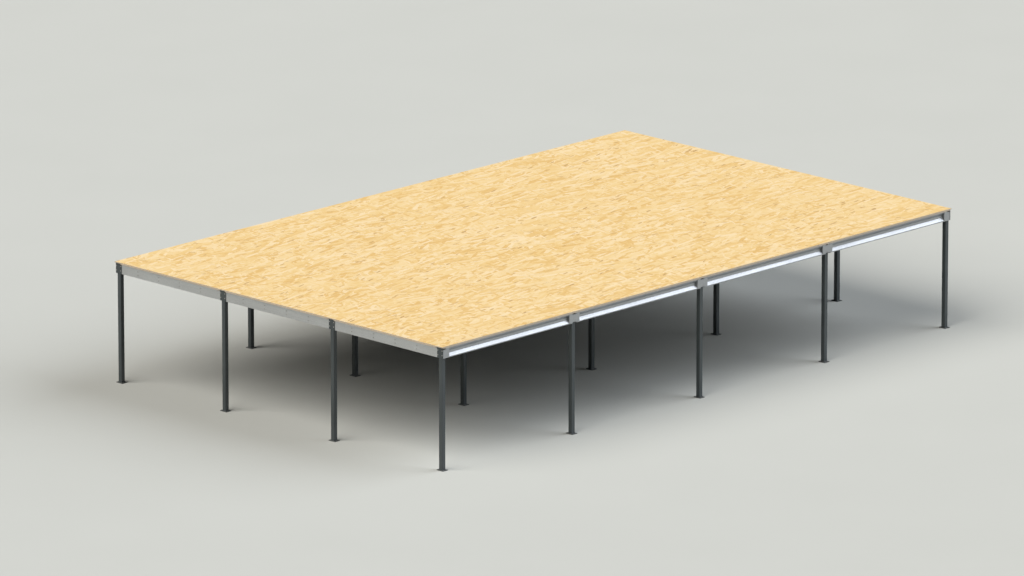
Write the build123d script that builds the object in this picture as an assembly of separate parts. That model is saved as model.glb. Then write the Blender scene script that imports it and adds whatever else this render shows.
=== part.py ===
from build123d import *
from math import sqrt
import os

os.makedirs("parts", exist_ok=True)

# A free-standing mezzanine platform: an OSB deck on cold-formed steel joists and beams,
# carried by five lines of four square posts. +X runs along the long side, +Y along the
# short side, +Z up. The origin is on the floor under the middle of the deck.

# ---- driving dimensions, millimetres ----
inner_bay_x = 3600
end_bay_x = 3560
inner_bay_y = 3000
end_bay_y = 2930
deck_overhang_x = 80
deck_overhang_y = 84
clear_height = 2230
beam_depth = 200
deck_thickness = 38

# posts and what is welded to them
post_width = 90
post_wall = 4
post_corner = 8
base_plate_x = 140
base_plate_y = 180
base_plate_thickness = 10
base_plate_corner = 6
anchor_hole = 14
anchor_spacing_x = 100
anchor_spacing_y = 140
cap_thickness = 5
head_plate_width = 156
head_plate_thickness = 8
head_plate_corner = 4
head_plate_foot = 2
head_plate_rise = 16
fin_thickness = 10
beam_fin_reach = 110
beam_fin_height = 170
joist_fin_thickness = 8
joist_fin_reach = 90
joist_fin_height = 120

# folded sections: channels for the beams across, sigma sections for the joists along
flange = 65
lip = 18
beam_gauge = 2.5
joist_gauge = 2
bend_radius = 2.5
sigma_flat = 20
sigma_slope = 55
sigma_recess = 45
end_gap = 3
end_beam_gap = 1

# joint covers on the edge joists
edge_plane = 70
cover_gauge = 4
cover_height = 196
cover_reach = 140
corner_cover_reach = 122
cover_notch_width = 124
corner_notch_width = 75
cover_notch_height = 22
cover_screw_reach = 100
return_play = 2
over = 1

# joist spacing and cleats
spaces_per_bay_y = 5
cleat_gauge = 6
cleat_height = 120
cleat_foot = 60
cleat_lap = 85

# boards
strips = 12
board_gap = 2
screw_edge = 14
screw_end = 60
screw_head = 12
screw_shank = 6
head_depth = 3
rebate_play = 2

# bolts: shank diameter, width across flats, washer diameter, head and nut heights
m12 = (12, 18, 24, 7.5, 10)
m16 = (16, 24, 30, 10, 13)
washer_thickness = 2.5
bolt_tip = 4
head_chamfer = 0.9
hole_play = 1.5
thread_play = 0.25
drill_depth = 20
head_bolt_offset = 57.5
head_bolt_rows = 45
beam_bolt_offsets = (40, 85)
beam_bolt_rows = 50
joist_bolt_offsets = (22, 55)
cleat_bolt_rows = 35
cleat_hole_offsets = (25, 65)
screw_hole = 5.5

# ---- worked-out places ----
beam_bottom = clear_height
beam_middle = clear_height + beam_depth / 2
beam_top = clear_height + beam_depth
deck_top = beam_top + deck_thickness
head_plate_top = beam_top + head_plate_rise
head_plate_middle = (beam_bottom + head_plate_foot + head_plate_top) / 2
post_half = post_width / 2
line_x = [-end_bay_x - inner_bay_x, -inner_bay_x, 0, inner_bay_x, end_bay_x + inner_bay_x]
row_y = [-end_bay_y - inner_bay_y / 2, -inner_bay_y / 2, inner_bay_y / 2, end_bay_y + inner_bay_y / 2]
rows = "abcd"
deck_half_x = line_x[-1] + deck_overhang_x
deck_half_y = row_y[-1] + deck_overhang_y
end_flange_tip = flange - post_half
twin_flange_tip = fin_thickness / 2 + flange


def save(name, solids):
    export_step(Compound(children=list(solids)), f"parts/{name}.step")


def bar(x0, x1, y0, y1, z0, z1):
    """Rectangular block between two corners."""
    return Pos(x0, y0, z0) * Box(x1 - x0, y1 - y0, z1 - z0, align=(Align.MIN, Align.MIN, Align.MIN))


def drill(x, y, z, axis, diameter, depth=drill_depth):
    """Round cutter centred on a point, along X, Y or Z."""
    turn = {"X": Rot(0, 90, 0), "Y": Rot(90, 0, 0), "Z": Rot(0, 0, 0)}[axis]
    return Pos(x, y, z) * turn * Cylinder(diameter / 2, depth)


def folded_strip(path, gauge):
    """Outline of a strip folded along a path, with its thickness on the path's right."""
    points = [Vector(x, y) for x, y in path]
    normals = []
    for start, end in zip(points, points[1:]):
        run = (end - start).normalized()
        normals.append(Vector(run.Y, -run.X))
    inside = [points[0] + normals[0] * gauge]
    for point, before, after in zip(points[1:], normals, normals[1:]):
        inside.append(point + (before + after) * (gauge / (1 + before.dot(after))))
    inside.append(points[-1] + normals[-1] * gauge)
    section = make_face(Polyline(*points, *reversed(inside), close=True))
    tight = []
    wide = []
    for place in range(1, len(points) - 1):
        turn = normals[place - 1].cross(normals[place]).Z
        tight.append(inside[place] if turn < 0 else points[place])
        wide.append(points[place] if turn < 0 else inside[place])
    for corners, radius in ((tight, bend_radius), (wide, bend_radius + gauge)):
        picked = [v for v in section.vertices() if min((Vector(v) - c).length for c in corners) < 0.01]
        section = fillet(picked, radius)
    return section


def round_bar(radius, height, sides=12):
    """Prism with many sides that stands for a round bar or washer."""
    return extrude(RegularPolygon(radius, sides), height)


def hexagon(flats, height):
    return extrude(RegularPolygon(flats / 2, 6, major_radius=False), height)


def hex_head(flats, height):
    """Hexagon standing on the XY plane with its free end chamfered."""
    corner_radius = flats / sqrt(3)
    blank = hexagon(flats, height)
    turned = Pos(0, 0, height / 2) * Cylinder(corner_radius, height)
    turned = chamfer(turned.edges().sort_by(Axis.Z)[-1], (corner_radius - flats / 2) * head_chamfer)
    return blank & turned


def bolt_set(size, grip, in_view=False):
    """Bolt, two washers and nut along +Z, with the clamped plates between 0 and grip."""
    shank, flats, washer, head, nut = size
    low = -washer_thickness
    body = Pos(0, 0, low) * round_bar(shank / 2, grip + 2 * washer_thickness + nut + bolt_tip)
    for level in (low, grip):
        body += Pos(0, 0, level) * round_bar(washer / 2, washer_thickness, 32 if in_view else 12)
    head_shape = hex_head(flats, head) if in_view else hexagon(flats, head)
    body += Pos(0, 0, low) * Rot(180, 0, 0) * head_shape
    body += Pos(0, 0, grip + washer_thickness) * hexagon(flats, nut)
    return body.solid()


along_x = Rot(0, 90, 0)
along_y = Rot(-90, 0, 0)
flip_x = Plane.YZ
flip_y = Plane.XZ

# ---- posts: square hollow section from base plate to cap ----
tube = RectangleRounded(post_width, post_width, post_corner)
tube -= RectangleRounded(post_width - 2 * post_wall, post_width - 2 * post_wall, post_corner - post_wall)
post = Pos(0, 0, base_plate_thickness) * extrude(tube, beam_top - cap_thickness - base_plate_thickness)
for line, x in enumerate(line_x, 1):
    for row, y in zip(rows, row_y):
        save(f"post_{line}{row}", [Pos(x, y, 0) * post])

# ---- base plates: four open anchor holes each ----
plate = Pos(0, 0, base_plate_thickness / 2) * Box(base_plate_x, base_plate_y, base_plate_thickness)
for side_x in (-1, 1):
    for side_y in (-1, 1):
        plate -= drill(side_x * anchor_spacing_x / 2, side_y * anchor_spacing_y / 2,
                       base_plate_thickness / 2, "Z", anchor_hole)
plate = chamfer(plate.edges().filter_by(Axis.Z).filter_by(GeomType.LINE), base_plate_corner)
for line, x in enumerate(line_x, 1):
    save(f"base_plates_line_{line}", [Pos(x, y, 0) * plate for y in row_y])

# ---- caps: close the posts under the deck ----
cap = bar(-post_half, post_half, -post_half, post_half, beam_top - cap_thickness, beam_top)
cap = fillet(cap.edges().filter_by(Axis.Z), post_corner)
save("post_caps", [Pos(x, y, 0) * cap for x in line_x for y in row_y])

# ---- head plates: wider than the post, up into a rebate under the deck, on both end lines ----
head_plate = bar(-post_half - head_plate_thickness, -post_half, -head_plate_width / 2, head_plate_width / 2,
                 beam_bottom + head_plate_foot, head_plate_top)
head_plate = chamfer(head_plate.edges().filter_by(Axis.X), head_plate_corner)
for side in (-1, 1):
    for level in (-1, 1):
        head_plate -= drill(-post_half, side * head_bolt_offset, head_plate_middle + level * head_bolt_rows,
                            "X", m12[0] + hole_play)
left_plates = [Pos(line_x[0], y, 0) * head_plate for y in row_y]
save("head_plates_end_1", left_plates)
save("head_plates_end_5", [mirror(p, about=flip_x) for p in left_plates])

# ---- fins: plates welded edge-on to the posts, for beams (along Y) and joists (along X) ----
beam_fin = bar(-fin_thickness / 2, fin_thickness / 2, post_half, post_half + beam_fin_reach,
               beam_middle - beam_fin_height / 2, beam_middle + beam_fin_height / 2)
for offset in beam_bolt_offsets:
    for level in (-1, 1):
        beam_fin -= drill(0, post_half + offset, beam_middle + level * beam_bolt_rows, "X",
                          m16[0] + hole_play)

# distance from a joist's outer plane to the inner face of its recessed web
web_back = sigma_recess + joist_gauge
joist_fin = bar(post_half, post_half + joist_fin_reach, 0, joist_fin_thickness,
                beam_middle - joist_fin_height / 2, beam_middle + joist_fin_height / 2)
for offset in joist_bolt_offsets:
    joist_fin -= drill(post_half + offset, 0, beam_middle, "Y", m16[0] + hole_play)
edge_fin_y = web_back - edge_plane
inner_fin_y = web_back - flange / 2


def joist_fin_at(x, row, side):
    """Fin on one X face of a post, lying against the back of the joist's web."""
    y = row_y[row]
    if row == 0:
        piece = Pos(0, edge_fin_y, 0) * joist_fin
    elif row == 3:
        piece = mirror(Pos(0, edge_fin_y, 0) * joist_fin, about=flip_y)
    else:
        piece = Pos(0, inner_fin_y, 0) * joist_fin
    if side < 0:
        piece = mirror(piece, about=flip_x)
    return Pos(x, y, 0) * piece


for line, x in enumerate(line_x):
    fins = []
    for row, y in enumerate(row_y):
        if line > 0:
            fins.append(joist_fin_at(x, row, -1))
        if line < 4:
            fins.append(joist_fin_at(x, row, 1))
        if 0 < line < 4 and row < 3:
            fins.append(Pos(x, y, 0) * beam_fin)
        if 0 < line < 4 and row > 0:
            fins.append(Pos(x, y, 0) * mirror(beam_fin, about=flip_y))
    save(f"post_fins_line_{line + 1}", fins)

# ---- beams across (along Y): folded channels ----
channel = folded_strip([(flange, lip), (flange, 0), (0, 0), (0, beam_depth), (flange, beam_depth),
                        (flange, beam_depth - lip)], beam_gauge)
spans_y = list(zip(row_y, row_y[1:]))
joist_spots = []
for low, high in spans_y:
    for step in range(1, spaces_per_bay_y):
        joist_spots.append(low + (high - low) * step / spaces_per_bay_y)
inner_spots = list(joist_spots)
joist_spots += row_y[1:3]
joist_spots.sort()
cleat_y = web_back - flange / 2
cleat_bolt_y = cleat_y + cleat_gauge + (cleat_foot - cleat_gauge) / 2


def channel_length(start, end):
    """Channel from start to end along Y, web on x = 0, flanges towards +X."""
    length = end - start
    blank = extrude(Plane.XZ * channel, length)
    piece = Pos(0, end, beam_bottom) * blank
    for spot in inner_spots:
        if start < spot < end:
            for level in (-1, 1):
                piece -= drill(0, spot + cleat_bolt_y, beam_middle + level * cleat_bolt_rows, "X",
                               m12[0] + hole_play)
    return piece


end_beams = []
twin_beams = []
for low, high in spans_y:
    start = low + post_half + end_beam_gap
    end = high - post_half - end_beam_gap
    piece = channel_length(start, end)
    for y in (low + head_bolt_offset, high - head_bolt_offset):
        for level in (-1, 1):
            piece -= drill(0, y, head_plate_middle + level * head_bolt_rows, "X", m12[0] + hole_play)
    end_beams.append(Pos(line_x[0] - post_half, 0, 0) * piece)
    start = low + post_half + end_gap
    end = high - post_half - end_gap
    piece = channel_length(start, end)
    for offset in beam_bolt_offsets:
        for y in (low + post_half + offset, high - post_half - offset):
            for level in (-1, 1):
                piece -= drill(0, y, beam_middle + level * beam_bolt_rows, "X", m16[0] + hole_play)
    piece = Pos(fin_thickness / 2, 0, 0) * piece
    twin_beams += [piece, mirror(piece, about=flip_x)]
save("end_beams_1", end_beams)
save("end_beams_5", [mirror(p, about=flip_x) for p in end_beams])
for line in (1, 2, 3):
    save(f"main_beams_line_{line + 1}", [Pos(line_x[line], 0, 0) * p for p in twin_beams])

# ---- joists (along X): folded sigma sections, recess towards -Y ----
low_slope = sigma_flat + sigma_slope
sigma = folded_strip([(flange, lip), (flange, 0), (0, 0), (0, sigma_flat), (sigma_recess, low_slope),
                      (sigma_recess, beam_depth - low_slope), (0, beam_depth - sigma_flat), (0, beam_depth),
                      (flange, beam_depth), (flange, beam_depth - lip)], joist_gauge)


def sigma_length(start, end, hole_size, hole_offsets):
    """Sigma section from start to end along X, outer plane on y = 0, drilled at both ends."""
    piece = Pos(start, 0, beam_bottom) * extrude(Plane.YZ * sigma, end - start)
    for offset in hole_offsets:
        for x in (start + offset, end - offset):
            piece -= drill(x, sigma_recess, beam_middle, "Y", hole_size + hole_play)
    return piece


post_hole_offsets = [offset - end_gap for offset in joist_bolt_offsets]
edge_joists = []
for left, right in zip(line_x, line_x[1:]):
    start = left + post_half + end_gap
    end = right - post_half - end_gap
    post_joist = sigma_length(start, end, m16[0], post_hole_offsets)
    edge_joist = post_joist
    for x in (left + cover_screw_reach, right - cover_screw_reach):
        for z in (beam_bottom + sigma_flat / 2, beam_top - sigma_flat / 2):
            edge_joist -= drill(x, 0, z, "Y", screw_hole)
    edge_joists.append(Pos(0, row_y[0] - edge_plane, 0) * edge_joist)
    bay = line_x.index(left) + 1
    tip_left = end_flange_tip if bay == 1 else twin_flange_tip
    tip_right = end_flange_tip if bay == 4 else twin_flange_tip
    start = left + tip_left + end_gap
    end = right - tip_right - end_gap
    beam_joist = sigma_length(start, end, m12[0], cleat_hole_offsets)
    joists = []
    for spot in joist_spots:
        piece = beam_joist if spot in inner_spots else post_joist
        joists.append(Pos(0, spot - flange / 2, 0) * piece)
    save(f"joists_bay_{bay}", joists)
save("edge_joists_front", edge_joists)
save("edge_joists_back", [mirror(p, about=flip_y) for p in edge_joists])

# ---- cleats: angles from the beam webs to the joist webs ----


def cleat(web_x, tip_x):
    """Angle with its foot on a beam web at web_x and its arm lapping the joist beyond tip_x."""
    end = tip_x + end_gap + cleat_lap
    z0 = beam_middle - cleat_height / 2
    z1 = beam_middle + cleat_height / 2
    piece = bar(web_x, end, cleat_y, cleat_y + cleat_gauge, z0, z1)
    piece += bar(web_x, web_x + cleat_gauge, cleat_y, cleat_y + cleat_foot, z0, z1)
    for level in (-1, 1):
        piece -= drill(web_x, cleat_bolt_y, beam_middle + level * cleat_bolt_rows, "X", m12[0] + hole_play)
    for offset in cleat_hole_offsets:
        piece -= drill(tip_x + end_gap + offset, cleat_y, beam_middle, "Y", m12[0] + hole_play)
    return piece


end_cleat = cleat(beam_gauge - post_half, end_flange_tip)
twin_cleat = cleat(fin_thickness / 2 + beam_gauge, twin_flange_tip)
for line, x in enumerate(line_x):
    cleats = []
    for spot in inner_spots:
        if line == 0:
            cleats.append(Pos(x, spot, 0) * end_cleat)
        elif line == 4:
            cleats.append(Pos(x, spot, 0) * mirror(end_cleat, about=flip_x))
        else:
            cleats.append(Pos(x, spot, 0) * twin_cleat)
            cleats.append(Pos(x, spot, 0) * mirror(twin_cleat, about=flip_x))
    save(f"joist_cleats_line_{line + 1}", cleats)

# ---- joint covers: folded plates over the joints between edge joists, outside the posts ----
cover_low = beam_middle - cover_height / 2
cover_high = beam_middle + cover_height / 2
cover_front = -edge_plane - cover_gauge


def cover_return(x0, x1):
    """Trapezoid tab at a cover's end that fills the recess of the sigma section."""
    back = sigma_recess - edge_plane - return_play
    outline = Polyline((-edge_plane, beam_bottom + sigma_flat + return_play),
                       (back, beam_bottom + low_slope + return_play),
                       (back, beam_top - low_slope - return_play),
                       (-edge_plane, beam_top - sigma_flat - return_play), close=True)
    return Pos(x0, 0, 0) * extrude(Plane.YZ * make_face(outline), x1 - x0)


def cover_screw_holes(piece, reaches):
    for x in reaches:
        for z in (beam_bottom + sigma_flat / 2, beam_top - sigma_flat / 2):
            piece -= drill(x, -edge_plane, z, "Y", screw_hole)
    return piece


cover = bar(-cover_reach, cover_reach, cover_front, -edge_plane, cover_low, cover_high)
cover += cover_return(-cover_reach, cover_gauge - cover_reach)
cover += cover_return(cover_reach - cover_gauge, cover_reach)
for low in (cover_low, cover_high - cover_notch_height):
    cover -= bar(-cover_notch_width / 2, cover_notch_width / 2, cover_front - over, over - edge_plane,
                 low, low + cover_notch_height)
cover = cover_screw_holes(cover, (-cover_screw_reach, cover_screw_reach))

corner_return_end = return_play - post_half - cover_gauge
corner_cover = bar(-post_half, corner_cover_reach, cover_front, -edge_plane, cover_low, cover_high)
corner_cover += bar(-post_half, cover_gauge - post_half, cover_front, corner_return_end,
                    cover_low, cover_high)
corner_cover += cover_return(corner_cover_reach - cover_gauge, corner_cover_reach)
corner_cover -= bar(cover_gauge - post_half, corner_notch_width - post_half, cover_front - over,
                    over - edge_plane, cover_high - cover_notch_height, cover_high)
for level in (-1, 1):
    corner_cover -= drill(-post_half, -head_bolt_offset, head_plate_middle + level * head_bolt_rows, "X",
                          m12[0] + hole_play)
corner_cover = cover_screw_holes(corner_cover, (cover_screw_reach,))
front_covers = [Pos(line_x[0], row_y[0], 0) * corner_cover]
front_covers += [Pos(x, row_y[0], 0) * cover for x in line_x[1:4]]
front_covers.append(Pos(line_x[4], row_y[0], 0) * mirror(corner_cover, about=flip_x))
save("joint_covers_front", front_covers)
save("joint_covers_back", [mirror(p, about=flip_y) for p in front_covers])

# ---- deck boards: strips across the platform, with end joints over joists ----
strip_width = 2 * deck_half_x / strips
board_middle = deck_top - deck_thickness / 2
edge_screw_y = row_y[-1] + edge_plane - flange / 2
screw_lines = [-edge_screw_y] + joist_spots + [edge_screw_y]
first_cuts = [-deck_half_y, joist_spots[3], joist_spots[7], joist_spots[11], deck_half_y]
second_cuts = [-cut for cut in reversed(first_cuts)]
screw_x = (screw_end - strip_width / 2, 0, strip_width / 2 - screw_end)
countersink = Cone(screw_shank / 2 + thread_play, screw_head / 2, head_depth)
head_outlines = [Pos(0, 0, level) * RegularPolygon(radius, 12)
                 for level, radius in ((-head_depth, screw_shank / 2), (0, screw_head / 2 - thread_play))]
deck_screw = loft(head_outlines)
deck_screw += Pos(0, 0, -deck_thickness) * round_bar(screw_shank / 2, deck_thickness - head_depth)
deck_screw = deck_screw.solid()


def board_and_screws(low, high):
    """One board centred on x = 0 with its screw places."""
    half = (strip_width - board_gap) / 2
    board = bar(-half, half, low + board_gap / 2, high - board_gap / 2, beam_top, deck_top)
    places = []
    for y in screw_lines:
        inset = min(max(y, low + screw_edge), high - screw_edge)
        if abs(inset - y) <= screw_edge:
            places += [(x, inset) for x in screw_x]
    for x, y in places:
        board -= drill(x, y, board_middle, "Z", screw_shank + 2 * thread_play, deck_thickness + 2 * over)
        board -= Pos(x, y, deck_top - head_depth / 2) * countersink
    return board, places


# rebates in the underside of the boards, over the head plates on the short sides
rebate_x = deck_half_x - deck_overhang_x + post_half - rebate_play
rebate_half = head_plate_width / 2 + rebate_play
rebate_top = head_plate_top + rebate_play
rebates = []
for y in row_y:
    far = y + rebate_half if y < row_y[-1] else deck_half_y + over
    near = y - rebate_half if y > row_y[0] else -deck_half_y - over
    rebates.append(bar(-deck_half_x - over, -rebate_x, near, far, beam_top - over, rebate_top))
    rebates.append(bar(rebate_x, deck_half_x + over, near, far, beam_top - over, rebate_top))


def rebated(board):
    """A placed board less the rebates that reach it."""
    room = board.bounding_box()
    for rebate in rebates:
        cut = rebate.bounding_box()
        if (cut.min.X < room.max.X and cut.max.X > room.min.X
                and cut.min.Y < room.max.Y and cut.max.Y > room.min.Y):
            board -= rebate
    return board


screws = []
patterns = []
for cuts in (first_cuts, second_cuts):
    patterns.append([board_and_screws(low, high) for low, high in zip(cuts, cuts[1:])])
for bay in range(4):
    boards = []
    for strip in range(3 * bay, 3 * bay + 3):
        x = -deck_half_x + (strip + 0.5) * strip_width
        for board, places in patterns[strip % 2]:
            boards.append(rebated(Pos(x, 0, 0) * board))
            screws += [Pos(x + dx, y, deck_top) * deck_screw for dx, y in places]
    save(f"deck_boards_bay_{bay + 1}", boards)
save("deck_screws", screws)

# ---- bolts ----
head_bolt = along_x * bolt_set(m12, head_plate_thickness + beam_gauge, in_view=True)
cover_bolt = along_x * bolt_set(m12, head_plate_thickness + cover_gauge, in_view=True)
head_bolts = []
for row, y in enumerate(row_y):
    for side in (-1, 1):
        outside = (row == 0 and side < 0) or (row == 3 and side > 0)
        piece = cover_bolt if outside else head_bolt
        for level in (-1, 1):
            head_bolts.append(Pos(line_x[0] - post_half - head_plate_thickness, y + side * head_bolt_offset,
                                  head_plate_middle + level * head_bolt_rows) * piece)
save("head_plate_bolts", head_bolts + [mirror(p, about=flip_x) for p in head_bolts])

beam_grip = fin_thickness + 2 * beam_gauge
beam_bolt = Pos(-beam_grip / 2, 0, 0) * along_x * bolt_set(m16, beam_grip)
joist_bolt = along_y * bolt_set(m16, joist_gauge + joist_fin_thickness)
fin_bolts = []
for line, x in enumerate(line_x):
    for row, y in enumerate(row_y):
        for side in (-1, 1):
            if 0 < line < 4 and not (row == 0 and side < 0) and not (row == 3 and side > 0):
                for offset in beam_bolt_offsets:
                    for level in (-1, 1):
                        fin_bolts.append(Pos(x, y + side * (post_half + offset),
                                             beam_middle + level * beam_bolt_rows) * beam_bolt)
            if (line == 0 and side < 0) or (line == 4 and side > 0):
                continue
            web_y = sigma_recess - (edge_plane if row in (0, 3) else flange / 2)
            piece = Pos(0, web_y, 0) * joist_bolt
            if row == 3:
                piece = mirror(piece, about=flip_y)
            for offset in joist_bolt_offsets:
                fin_bolts.append(Pos(x + side * (post_half + offset), y, beam_middle) * piece)
save("fin_bolts", fin_bolts)

end_cleat_bolt = along_x * bolt_set(m12, beam_gauge + cleat_gauge)
twin_grip = fin_thickness + 2 * beam_gauge + 2 * cleat_gauge
twin_cleat_bolt = Pos(-twin_grip / 2, 0, 0) * along_x * bolt_set(m12, twin_grip)
arm_bolt = Pos(0, cleat_y - joist_gauge, 0) * along_y * bolt_set(m12, joist_gauge + cleat_gauge)
cleat_bolts = []
for line, x in enumerate(line_x):
    for spot in inner_spots:
        for level in (-1, 1):
            z = beam_middle + level * cleat_bolt_rows
            if line == 0:
                piece = Pos(-post_half, 0, 0) * end_cleat_bolt
            elif line == 4:
                piece = mirror(Pos(-post_half, 0, 0) * end_cleat_bolt, about=flip_x)
            else:
                piece = twin_cleat_bolt
            cleat_bolts.append(Pos(x, spot + cleat_bolt_y, z) * piece)
        for side in (-1, 1):
            if (line == 0 and side < 0) or (line == 4 and side > 0):
                continue
            tip = end_flange_tip if line in (0, 4) else twin_flange_tip
            for offset in cleat_hole_offsets:
                cleat_bolts.append(Pos(x + side * (tip + end_gap + offset), spot, beam_middle) * arm_bolt)
save("cleat_bolts", cleat_bolts)

# ---- cover screws: pan heads through cover and joist flats ----
pan_head = 11
pan_height = 3
pan_rounding = 1.8
cover_screw = Cylinder(pan_head / 2, pan_height, align=(Align.CENTER, Align.CENTER, Align.MAX))
cover_screw = fillet(cover_screw.edges().sort_by(Axis.Z)[0], pan_rounding)
cover_screw += round_bar(screw_hole / 2 - thread_play, cover_gauge + joist_gauge + pan_height)
cover_screw = Pos(0, cover_front, 0) * along_y * cover_screw.solid()
cover_screws = []
for line, x in enumerate(line_x):
    for side in (-1, 1):
        if (line == 0 and side < 0) or (line == 4 and side > 0):
            continue
        for z in (beam_bottom + sigma_flat / 2, beam_top - sigma_flat / 2):
            cover_screws.append(Pos(x + side * cover_screw_reach, row_y[0], z) * cover_screw)
save("cover_screws", cover_screws + [mirror(p, about=flip_y) for p in cover_screws])
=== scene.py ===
import math

import bmesh
import bpy
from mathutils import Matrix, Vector


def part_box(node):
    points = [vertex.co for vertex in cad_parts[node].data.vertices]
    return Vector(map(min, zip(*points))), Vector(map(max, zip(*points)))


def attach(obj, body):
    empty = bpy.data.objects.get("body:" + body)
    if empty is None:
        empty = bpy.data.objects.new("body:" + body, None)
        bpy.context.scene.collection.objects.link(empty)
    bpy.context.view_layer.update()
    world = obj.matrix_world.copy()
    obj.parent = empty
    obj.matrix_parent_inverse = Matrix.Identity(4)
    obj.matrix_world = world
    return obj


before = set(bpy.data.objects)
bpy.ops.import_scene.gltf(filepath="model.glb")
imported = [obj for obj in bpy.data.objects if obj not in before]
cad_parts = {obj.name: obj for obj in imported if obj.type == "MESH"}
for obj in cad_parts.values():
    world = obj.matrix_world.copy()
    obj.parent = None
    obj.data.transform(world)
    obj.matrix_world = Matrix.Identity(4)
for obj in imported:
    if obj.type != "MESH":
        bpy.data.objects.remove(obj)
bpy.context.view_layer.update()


# ---- Posts ------------------------------------------------------------------------------------
# Twenty square hollow steel posts with their base plates, fins, caps and head plates welded on,
# then powder coated anthracite as one piece. The coat has a fine orange peel and thinner patches,
# small scuffs near the floor, and some dust on the base plates.
def start_finish(name):
    """A new material, its node tree and its shader."""
    finish = bpy.data.materials.new(name)
    finish.use_nodes = True
    tree = finish.node_tree
    return finish, tree, tree.nodes["Principled BSDF"]


def feed(tree, socket, value):
    """Joins value to the socket if it comes from a node, or sets it there."""
    if isinstance(value, bpy.types.NodeSocket):
        tree.links.new(value, socket)
    else:
        socket.default_value = value


def part_place(tree, cell=(1, 1, 1), turn=(0, 0, 0)):
    """Object coordinates turned and counted in cells of this size, in metres."""
    where = tree.nodes.new("ShaderNodeTexCoord")
    fit = tree.nodes.new("ShaderNodeMapping")
    fit.vector_type = "TEXTURE"
    tree.links.new(where.outputs["Object"], fit.inputs["Vector"])
    fit.inputs["Rotation"].default_value = turn
    fit.inputs["Scale"].default_value = cell
    return fit.outputs["Vector"]


def cloud(tree, cell, turn=(0, 0, 0), detail=3, roughness=0.55):
    """Smooth noise from 0 to 1 whose blobs have this size."""
    made = tree.nodes.new("ShaderNodeTexNoise")
    feed(tree, made.inputs["Vector"], part_place(tree, cell, turn))
    made.inputs["Scale"].default_value = 1
    made.inputs["Detail"].default_value = detail
    made.inputs["Roughness"].default_value = roughness
    return made.outputs["Fac"]


def sums(tree, operation, first, second=0.0, third=0.0):
    made = tree.nodes.new("ShaderNodeMath")
    made.operation = operation
    for place, value in enumerate((first, second, third)):
        feed(tree, made.inputs[place], value)
    return made.outputs["Value"]


def spread(tree, value, low, high, to_low=0.0, to_high=1.0):
    """Takes low..high of the value to to_low..to_high, and no further."""
    made = tree.nodes.new("ShaderNodeMapRange")
    for place, number in enumerate((value, low, high, to_low, to_high)):
        feed(tree, made.inputs[place], number)
    return made.outputs["Result"]


def colour_mix(tree, amount, first, second):
    made = tree.nodes.new("ShaderNodeMix")
    made.data_type = "RGBA"
    feed(tree, made.inputs["Factor"], amount)
    feed(tree, made.inputs["A"], first)
    feed(tree, made.inputs["B"], second)
    return made.outputs["Result"]


def raise_surface(tree, shader, height, depth, strength=1.0):
    """Lifts the surface by depth, in metres, for each 1 of height."""
    made = tree.nodes.new("ShaderNodeBump")
    made.inputs["Strength"].default_value = strength
    made.inputs["Distance"].default_value = depth
    feed(tree, made.inputs["Height"], height)
    tree.links.new(made.outputs["Normal"], shader.inputs["Normal"])


def height_above_floor(tree):
    split = tree.nodes.new("ShaderNodeSeparateXYZ")
    feed(tree, split.inputs[0], part_place(tree))
    return split.outputs["Z"]


def dress(finish, *starts):
    """Gives this finish to every CAD node whose name starts so."""
    for name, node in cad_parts.items():
        if name.startswith(starts):
            for holder in node.material_slots:
                holder.material = finish


anthracite = (0.040, 0.0485, 0.0505, 1)
anthracite_thin = (0.052, 0.0625, 0.064, 1)
bare_scuff = (0.2, 0.205, 0.2, 1)
floor_dust = (0.25, 0.24, 0.22, 1)
coat_roughness = (0.36, 0.5)
thin_patch = (0.35, 0.35, 0.6)
scuff_mark = (0.012, 0.012, 0.12)
scuffed_height = 0.45
dust_patch = 0.03
dusty_height = 0.03
peel_size = 0.0022
peel_depth = 0.00012
weld_ripple = (0.012, 0.012, 1000.0)
weld_ripple_depth = 0.0008


def powder_coat(name, ripple=False):
    """The coat; ripple adds the scales of the weld bead under it."""
    finish, tree, shader = start_finish(name)
    patches = cloud(tree, thin_patch, detail=4)
    tone = colour_mix(tree, spread(tree, patches, 0.4, 0.75), anthracite, anthracite_thin)
    scuffs = cloud(tree, scuff_mark, detail=5, roughness=0.7)
    low = spread(tree, height_above_floor(tree), 0.0, scuffed_height, 1.0, 0.0)
    worn = sums(tree, "MULTIPLY", spread(tree, scuffs, 0.62, 0.72), low)
    tone = colour_mix(tree, sums(tree, "MULTIPLY", worn, 0.5), tone, bare_scuff)
    lying = spread(tree, height_above_floor(tree), 0.0, dusty_height, 0.5, 0.0)
    dust_cloud = cloud(tree, (dust_patch,) * 3)
    dust = sums(tree, "MULTIPLY", spread(tree, dust_cloud, 0.3, 0.8), lying)
    tone = colour_mix(tree, dust, tone, floor_dust)
    feed(tree, shader.inputs["Base Color"], tone)
    peel = cloud(tree, (peel_size,) * 3, detail=1)
    clean = spread(tree, patches, 0.3, 0.7, *coat_roughness)
    feed(tree, shader.inputs["Roughness"], sums(tree, "MULTIPLY_ADD", dust, 0.4, clean))
    shader.inputs["Specular IOR Level"].default_value = 0.45
    lift = peel
    if ripple:
        bead = tree.nodes.new("ShaderNodeTexWave")
        bead.wave_type = "BANDS"
        bead.bands_direction = "DIAGONAL"
        feed(tree, bead.inputs["Vector"], part_place(tree, weld_ripple))
        bead.inputs["Scale"].default_value = 1
        bead.inputs["Distortion"].default_value = 1.5
        lift = sums(tree, "ADD", sums(tree, "MULTIPLY", peel, 0.2), bead.outputs["Fac"])
    raise_surface(tree, shader, lift, weld_ripple_depth if ripple else peel_depth)
    return finish


dress(powder_coat("anthracite_powder_coat"), "post_", "base_plates", "head_plates")


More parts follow.
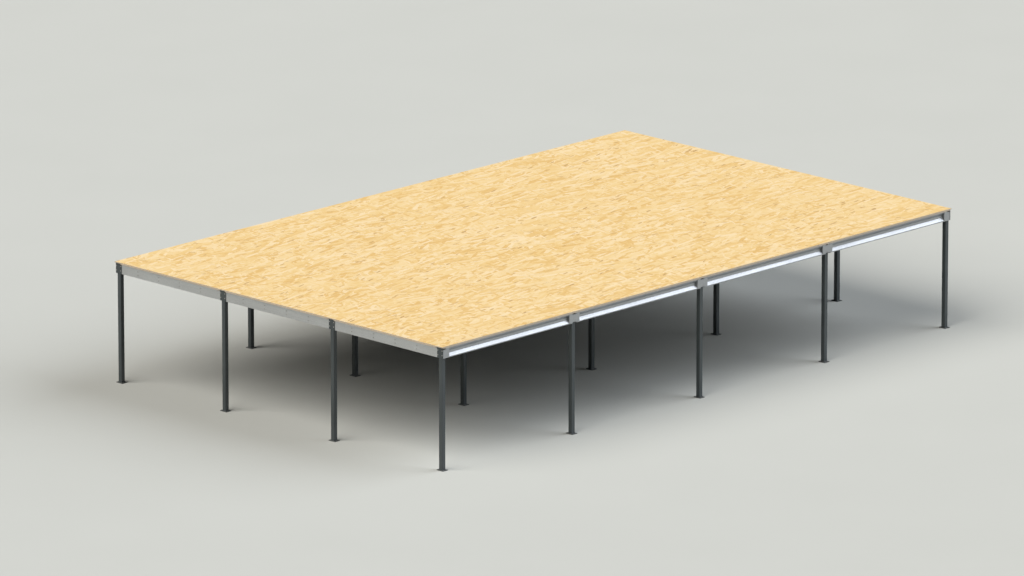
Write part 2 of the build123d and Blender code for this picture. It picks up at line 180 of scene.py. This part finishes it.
# ---- Weld beads -------------------------------------------------------------------------------
# A fillet weld runs round the foot of each post and holds it to its base plate. It is laid in
# one pass, carried round the corners, and lies under the same powder coat.
weld_leg = 0.006
weld_fullness = 0.62
weld_crown = weld_leg * weld_fullness
weld_bite = 0.0005
weld_merge = 0.00002
post_corner = 0.008
corner_steps = 5
bead_coat = powder_coat("anthracite_weld", ripple=True)


def foot_weld(name, post, plate_top):
    """The bead round one post: a quarter of it, run and turned, then mirrored twice."""
    low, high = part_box(post)
    middle = (low + high) / 2
    half = (high.x - low.x) / 2
    mesh = bmesh.new()
    profile = [
        mesh.verts.new((half - weld_bite, 0, plate_top)),
        mesh.verts.new((half + weld_leg, 0, plate_top)),
        mesh.verts.new((half + weld_crown, 0, plate_top + weld_crown)),
        mesh.verts.new((half - weld_bite, 0, plate_top + weld_leg)),
    ]
    face = mesh.faces.new(profile)
    straight = bmesh.ops.extrude_face_region(mesh, geom=[face])
    moved = [part for part in straight["geom"] if isinstance(part, bmesh.types.BMVert)]
    bmesh.ops.translate(mesh, verts=moved, vec=(0, half - post_corner, 0))
    end = [part for part in straight["geom"] if isinstance(part, bmesh.types.BMFace)]
    edges = {edge for part in end for edge in part.edges}
    corner = (half - post_corner, half - post_corner, 0)
    turned = bmesh.ops.spin(
        mesh, geom=[*end, *edges, *moved], cent=corner, axis=(0, 0, 1),
        angle=math.pi / 2, steps=corner_steps, use_merge=False, use_duplicate=False,
    )
    last = [part for part in turned["geom_last"] if isinstance(part, bmesh.types.BMFace)]
    run = bmesh.ops.extrude_face_region(mesh, geom=last)
    moved = [part for part in run["geom"] if isinstance(part, bmesh.types.BMVert)]
    bmesh.ops.translate(mesh, verts=moved, vec=(-(half - post_corner), 0, 0))
    for axis in ("X", "Y"):
        bmesh.ops.mirror(mesh, geom=mesh.verts[:] + mesh.edges[:] + mesh.faces[:],
                         merge_dist=weld_merge, axis=axis)
    near = weld_merge / 2
    inside = [face for face in mesh.faces
              if all(abs(v.co.x) < near for v in face.verts)
              or all(abs(v.co.y) < near for v in face.verts)]
    bmesh.ops.delete(mesh, geom=inside, context="FACES_ONLY")
    bmesh.ops.remove_doubles(mesh, verts=mesh.verts[:], dist=weld_merge)
    bmesh.ops.recalc_face_normals(mesh, faces=mesh.faces[:])
    bmesh.ops.translate(mesh, verts=mesh.verts[:], vec=(middle.x, middle.y, 0))
    data = bpy.data.meshes.new(name)
    mesh.to_mesh(data)
    mesh.free()
    data.shade_smooth()
    piece = bpy.data.objects.new(name, data)
    bpy.context.collection.objects.link(piece)
    data.materials.append(bead_coat)
    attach(piece, "root")


for line in "12345":
    plate_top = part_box(f"base_plates_line_{line}")[1].z
    for row in "abcd":
        foot_weld(f"foot_weld_{line}{row}", f"post_{line}{row}", plate_top)


# ---- Beams, joists, covers and cleats ---------------------------------------------------------
# Channel and sigma sections, folded cold from hot-dip galvanised strip, with flat galvanised
# plates and angles between them. The zinc shows a spangle of flat crystals, faint rolling
# streaks along each section, and duller patches where it has begun to weather.
spangle = 0.014
weathered_patch = (0.9, 0.9, 0.36)
zinc_pimple = 0.004
zinc_depth = 0.00006
zinc_roughness = (0.34, 0.5)


def galvanised(name, grain, bright, dull):
    """Zinc-coated strip; grain is the size of a rolling streak along x, y and z."""
    finish, tree, shader = start_finish(name)
    crystal = tree.nodes.new("ShaderNodeTexVoronoi")
    feed(tree, crystal.inputs["Vector"], part_place(tree, (spangle,) * 3))
    crystal.inputs["Scale"].default_value = 1
    split = tree.nodes.new("ShaderNodeSeparateColor")
    feed(tree, split.inputs["Color"], crystal.outputs["Color"])
    flake = split.outputs["Red"]
    streak = cloud(tree, grain, detail=3)
    weather = cloud(tree, weathered_patch, detail=5)
    shade = sums(tree, "MULTIPLY_ADD", flake, 0.22, sums(tree, "MULTIPLY", streak, 0.5))
    shade = sums(tree, "MULTIPLY_ADD", weather, 0.6, sums(tree, "SUBTRACT", shade, 0.15))
    tone = colour_mix(tree, spread(tree, shade, 0.25, 0.75), bright, dull)
    feed(tree, shader.inputs["Base Color"], tone)
    feed(tree, shader.inputs["Roughness"], spread(tree, shade, 0.2, 0.8, *zinc_roughness))
    shader.inputs["Metallic"].default_value = 0.85
    shader.inputs["Specular IOR Level"].default_value = 0.5
    pimples = cloud(tree, (zinc_pimple,) * 3)
    lift = sums(tree, "MULTIPLY_ADD", split.outputs["Green"], 0.3, pimples)
    raise_surface(tree, shader, lift, zinc_depth)
    return finish


beam_bright = (0.58, 0.59, 0.585, 1)
beam_dull = (0.47, 0.477, 0.472, 1)
zinc_bright = (0.393, 0.405, 0.412, 1)
zinc_dull = (0.325, 0.337, 0.344, 1)
along_x = (0.9, 0.012, 0.012)
along_y = (0.012, 0.9, 0.012)
upright = (0.012, 0.012, 0.3)

dress(galvanised("galvanised_beam", along_y, beam_bright, beam_dull), "end_beams", "main_beams")
dress(galvanised("galvanised_joist", along_x, zinc_bright, zinc_dull), "edge_joists", "joists_bay")
dress(galvanised("galvanised_cover", upright, zinc_bright, zinc_dull), "joint_covers")
dress(galvanised("galvanised_cleat", upright, zinc_bright, zinc_dull), "joist_cleats")


# ---- Bolts and screws -------------------------------------------------------------------------
# Zinc-plated hexagon bolts with washers and nuts, pan-head screws in the joint covers and
# countersunk screws in the deck, all bought in. The thin plating is a little mottled, and rubbed
# smoother in places by the spanner and driver.
plated_tones = [
    (0.3, (0.30, 0.30, 0.29, 1)),
    (0.55, (0.42, 0.42, 0.40, 1)),
    (0.75, (0.50, 0.485, 0.44, 1)),
]
plated_roughness = (0.24, 0.42)
plating_mottle = 0.006
plating_depth = 0.00004
rubbed_patch = 0.02


def colours_by(tree, value, stops):
    """Colours along a value: stops are (place, colour) pairs."""
    made = tree.nodes.new("ShaderNodeValToRGB")
    points = made.color_ramp.elements
    while len(points) < len(stops):
        points.new(0.5)
    for point, (place, colour) in zip(points, stops):
        point.position = place
        point.color = colour
    feed(tree, made.inputs["Fac"], value)
    return made.outputs["Color"]


finish, tree, shader = start_finish("zinc_plated_fastener")
plating = cloud(tree, (plating_mottle,) * 3, detail=4)
rubbed = cloud(tree, (rubbed_patch,) * 3, detail=2)
feed(tree, shader.inputs["Base Color"], colours_by(tree, plating, plated_tones))
feed(tree, shader.inputs["Roughness"], spread(tree, rubbed, 0.3, 0.7, *plated_roughness))
shader.inputs["Metallic"].default_value = 0.95
raise_surface(tree, shader, plating, plating_depth)
dress(finish, "head_plate_bolts", "fin_bolts", "cleat_bolts", "cover_screws", "deck_screws")


# ---- Deck boards ------------------------------------------------------------------------------
# Oriented strand boards: long, thin softwood strands, mostly along the board and partly across
# it, pressed flat with resin. Each strand has its own shade of straw, grain and a low edge, with
# a few slivers of bark between. The cut edges are greyer. The underside is painted dark grey as
# painted shade, which deepens the shade under the deck.
strand_tones = [
    (0.0, (0.648, 0.417, 0.150, 1)),
    (0.22, (0.716, 0.504, 0.215, 1)),
    (0.5, (0.740, 0.550, 0.270, 1)),
    (0.8, (0.759, 0.583, 0.320, 1)),
    (1.0, (0.783, 0.630, 0.391, 1)),
]
bark_dark = (0.46, 0.28, 0.115, 1)
bark_light = (0.68, 0.46, 0.20, 1)
edge_tones = [
    (0.3, (0.26, 0.20, 0.145, 1)),
    (0.5, (0.45, 0.38, 0.29, 1)),
    (0.7, (0.58, 0.50, 0.40, 1)),
]
# Painted shade: a dark grey for the downward faces of the boards, which deepens the shade under
# the deck.
painted_underside_shade_tone = (0.13, 0.13, 0.135, 1)
board_roughness = (0.8, 0.6)
board_relief = 0.0007
strand_depth = 0.0096
grain_depth = 0.01
edge_layer = (0.05, 0.05, 0.0016)
strand_layers = [
    # turn in degrees, length and width in metres, share of the face that this layer covers
    (4, 0.75, 0.11, 1.0),
    (-68, 0.36, 0.085, 0.40),
    (52, 0.40, 0.080, 0.40),
    (-33, 0.48, 0.080, 0.40),
    (27, 0.50, 0.075, 0.40),
    (-14, 0.62, 0.075, 0.40),
    (9, 0.55, 0.060, 0.30),
    (78, 0.22, 0.045, 0.12),
]
bark_slivers = [
    # the same four values as a strand layer
    (12, 0.15, 0.035, 0.018),
    (-50, 0.10, 0.028, 0.012),
]


def strands(tree, turn, cell):
    """Strands of this size and turn: a shade and a pick for each, both random from 0 to 1."""
    made = tree.nodes.new("ShaderNodeTexVoronoi")
    made.distance = "CHEBYCHEV"
    feed(tree, made.inputs["Vector"], part_place(tree, cell, turn))
    made.inputs["Scale"].default_value = 1
    split = tree.nodes.new("ShaderNodeSeparateColor")
    feed(tree, split.inputs["Color"], made.outputs["Color"])
    return split.outputs["Red"], split.outputs["Green"]


board, tree, shader = start_finish("oriented_strand_board")
tone = None
for degrees, long, wide, cover in strand_layers:
    turn = (0, 0, math.radians(degrees))
    shade, pick = strands(tree, turn, (long, wide, strand_depth))
    grain_cell = (long * 0.5, wide * 0.09, grain_depth)
    grain = cloud(tree, grain_cell, turn, detail=3, roughness=0.65)
    shade_and_grain = sums(tree, "MULTIPLY_ADD", sums(tree, "SUBTRACT", grain, 0.5), 0.9, shade)
    layer_tone = colours_by(tree, shade_and_grain, strand_tones)
    layer_height = sums(tree, "MULTIPLY_ADD", grain, 0.35, pick)
    if tone is None:
        tone = layer_tone
        height = layer_height
        continue
    lies_here = sums(tree, "LESS_THAN", pick, cover)
    tone = colour_mix(tree, lies_here, tone, layer_tone)
    step = sums(tree, "MULTIPLY", lies_here, sums(tree, "ADD", layer_height, 0.4))
    height = sums(tree, "MAXIMUM", height, step)
for degrees, long, wide, share in bark_slivers:
    turn = (0, 0, math.radians(degrees))
    shade, pick = strands(tree, turn, (long, wide, strand_depth))
    bark_tone = colour_mix(tree, shade, bark_dark, bark_light)
    tone = colour_mix(tree, sums(tree, "LESS_THAN", pick, share), tone, bark_tone)
normal = tree.nodes.new("ShaderNodeNewGeometry")
facing = tree.nodes.new("ShaderNodeSeparateXYZ")
tree.links.new(normal.outputs["Normal"], facing.inputs[0])
flat_face = spread(tree, sums(tree, "ABSOLUTE", facing.outputs["Z"]), 0.5, 0.8)
layers = cloud(tree, edge_layer, detail=2, roughness=0.7)
tone = colour_mix(tree, flat_face, colours_by(tree, layers, edge_tones), tone)
# Painted shade: faces that point down take the dark grey in place of the wood.
painted_underside_shade_mask = spread(tree, facing.outputs["Z"], -0.8, -0.5, 0.88, 0.0)
tone = colour_mix(tree, painted_underside_shade_mask, tone, painted_underside_shade_tone)
feed(tree, shader.inputs["Base Color"], tone)
feed(tree, shader.inputs["Roughness"], spread(tree, height, 0.2, 1.4, *board_roughness))
shader.inputs["Specular IOR Level"].default_value = 0.2
board_lift = colour_mix(tree, flat_face, layers, height)
raise_surface(tree, shader, board_lift, board_relief, strength=0.8)
dress(board, "deck_boards")


# ---- Floor, light and camera ------------------------------------------------------------------
# A plain pale studio floor, two very large soft lights, a warm one on the left and a cooler one
# on the right, and a faint fill all round. A long lens far away looks at the platform corner-on.
floor_radius = 170
floor_sides = 96
floor_mottle = (2.5, 2.5, 1)
floor_dark = (0.492, 0.502, 0.468, 1)
floor_light = (0.508, 0.518, 0.484, 1)
floor_roughness = (0.8, 0.95)
lamp_distance = 40
fill_colour = (0.95, 0.97, 1.0, 1)
fill_strength = 0.004
wall_colour = (0.658, 0.665, 0.623, 1)
camera_place = (-146.392, -142.078, 56.860)
camera_heading = 44.282
camera_drop = 15.216
camera_lens = 374.955
sensor_width = 36
nearest_seen = 5
farthest_seen = 1000

floor_mesh = bmesh.new()
bmesh.ops.create_circle(floor_mesh, cap_ends=True, segments=floor_sides, radius=floor_radius)
floor_data = bpy.data.meshes.new("studio_floor")
floor_mesh.to_mesh(floor_data)
floor_mesh.free()
studio_floor = bpy.data.objects.new("studio_floor", floor_data)
bpy.context.collection.objects.link(studio_floor)

finish, tree, shader = start_finish("studio_floor_paint")
mottle = cloud(tree, floor_mottle, detail=4)
feed(tree, shader.inputs["Base Color"], colour_mix(tree, mottle, floor_dark, floor_light))
feed(tree, shader.inputs["Roughness"], spread(tree, mottle, 0.2, 0.8, *floor_roughness))
shader.inputs["Specular IOR Level"].default_value = 0.1
floor_data.materials.append(finish)


def soft_light(name, bearing, height, width, power, colour):
    """A light this wide, at this bearing from +X towards +Y and height, all in degrees."""
    data = bpy.data.lights.new(name, "SUN")
    data.angle = math.radians(width)
    data.energy = power
    data.color = colour
    lamp = bpy.data.objects.new(name, data)
    bpy.context.collection.objects.link(lamp)
    turn = math.radians(bearing)
    tilt = math.radians(height)
    towards = Vector((
        math.cos(tilt) * math.cos(turn),
        math.cos(tilt) * math.sin(turn),
        math.sin(tilt),
    ))
    lamp.rotation_mode = "QUATERNION"
    lamp.rotation_quaternion = towards.to_track_quat("Z", "Y")
    lamp.location = towards * lamp_distance


soft_light("warm_light_left", 173, 47.5, 57, 3.50, (1.0, 0.965, 0.93))
soft_light("cool_light_right", 322, 34, 60, 3.22, (0.87, 0.91, 0.985))

world = bpy.data.worlds.new("studio")
bpy.context.scene.world = world
world.use_nodes = True
room = world.node_tree
fill = room.nodes["Background"]
fill.inputs["Color"].default_value = fill_colour
fill.inputs["Strength"].default_value = fill_strength
wall = room.nodes.new("ShaderNodeBackground")
wall.inputs["Color"].default_value = wall_colour
seen = room.nodes.new("ShaderNodeLightPath")
choose = room.nodes.new("ShaderNodeMixShader")
room.links.new(seen.outputs["Is Camera Ray"], choose.inputs["Fac"])
room.links.new(fill.outputs["Background"], choose.inputs[1])
room.links.new(wall.outputs["Background"], choose.inputs[2])
room.links.new(choose.outputs["Shader"], room.nodes["World Output"].inputs["Surface"])

bpy.context.scene.view_settings.view_transform = "Standard"

camera_data = bpy.data.cameras.new("camera")
camera_data.lens = camera_lens
camera_data.sensor_width = sensor_width
camera_data.clip_start = nearest_seen
camera_data.clip_end = farthest_seen
camera = bpy.data.objects.new("camera", camera_data)
bpy.context.collection.objects.link(camera)
camera.location = camera_place
heading = math.radians(camera_heading)
drop = math.radians(camera_drop)
forward = Vector((
    math.cos(drop) * math.cos(heading),
    math.cos(drop) * math.sin(heading),
    -math.sin(drop),
))
camera.rotation_mode = "QUATERNION"
camera.rotation_quaternion = forward.to_track_quat("-Z", "Y")
bpy.context.scene.camera = camera
